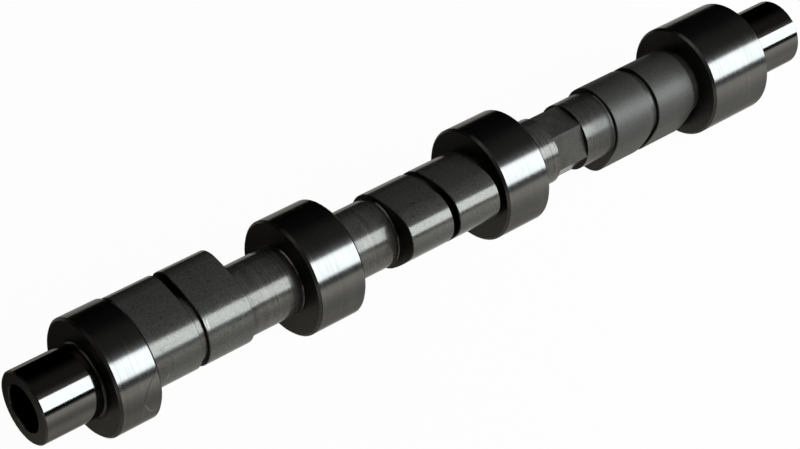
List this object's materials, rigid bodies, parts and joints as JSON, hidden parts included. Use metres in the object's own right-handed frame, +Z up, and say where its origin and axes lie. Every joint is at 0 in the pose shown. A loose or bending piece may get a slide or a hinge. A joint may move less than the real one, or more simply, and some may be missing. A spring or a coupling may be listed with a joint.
{
  "type": "camshaft",
  "caption": "Overhead camshaft for one bank of a flat engine: lobes in pairs between bearing journals, wrench hexagon, bored front snout.",
  "frame": {"origin": "on the shaft axis, at the middle of the front journal", "axes": "+X along the shaft from the bored front end to the rear end, +Z up, +Y completes the right-handed frame"},
  "size_m": [0.3962, 0.049, 0.049],
  "materials": {
    "steel": "dark steel, ground bright on journals and snouts, satin on cores and lobes"
  },
  "bodies": {
    "root": {"camshaft": "steel"}
  },
  "joints": []
}
